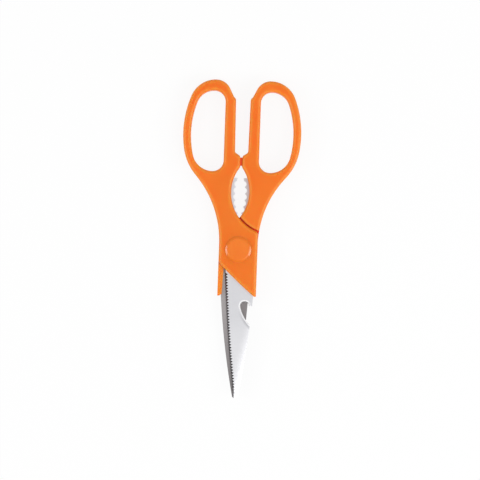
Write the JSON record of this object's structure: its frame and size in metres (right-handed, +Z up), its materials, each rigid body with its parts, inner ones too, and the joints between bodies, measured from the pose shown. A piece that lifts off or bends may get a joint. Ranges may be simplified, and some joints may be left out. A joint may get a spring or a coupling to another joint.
{
  "type": "kitchen shears",
  "caption": "Hinged kitchen shears with looped plastic handles, a serrated blade over a plain one, a bottle-opener notch and toothed nutcracker jaws.",
  "frame": {"origin": "on the pivot axis, on the outer face of the rear pivot cap, in the plane that the shears lie on", "axes": "+Z up along the pivot axis to the front cap, +Y from the pivot to the finger bows, +X to the right seen from the front"},
  "size_m": [0.0794, 0.2137, 0.0124],
  "materials": {
    "steel": "fine ground stainless steel",
    "orange_plastic": "smooth moulded plastic with a soft sheen",
    "cap_plastic": "smooth moulded plastic with a soft sheen",
    "hardware": "plain turned steel"
  },
  "bodies": {
    "rear_half": {"rear_blade": "steel", "rear_handle": "orange_plastic", "rear_cap": "cap_plastic", "pivot_screw": "hardware", "pivot_nut": "hardware", "spring_washer": "hardware", "flat_washer": "hardware"},
    "front_half": {"front_blade": "steel", "front_handle": "orange_plastic", "front_cap": "cap_plastic"}
  },
  "joints": [
    {"name": "pivot", "type": "hinge", "parent": "rear_half", "child": "front_half", "pos_m": [0, 0, 0.0062], "axis": [0, 0, 1], "range_deg": [0, 75]}
  ]
}
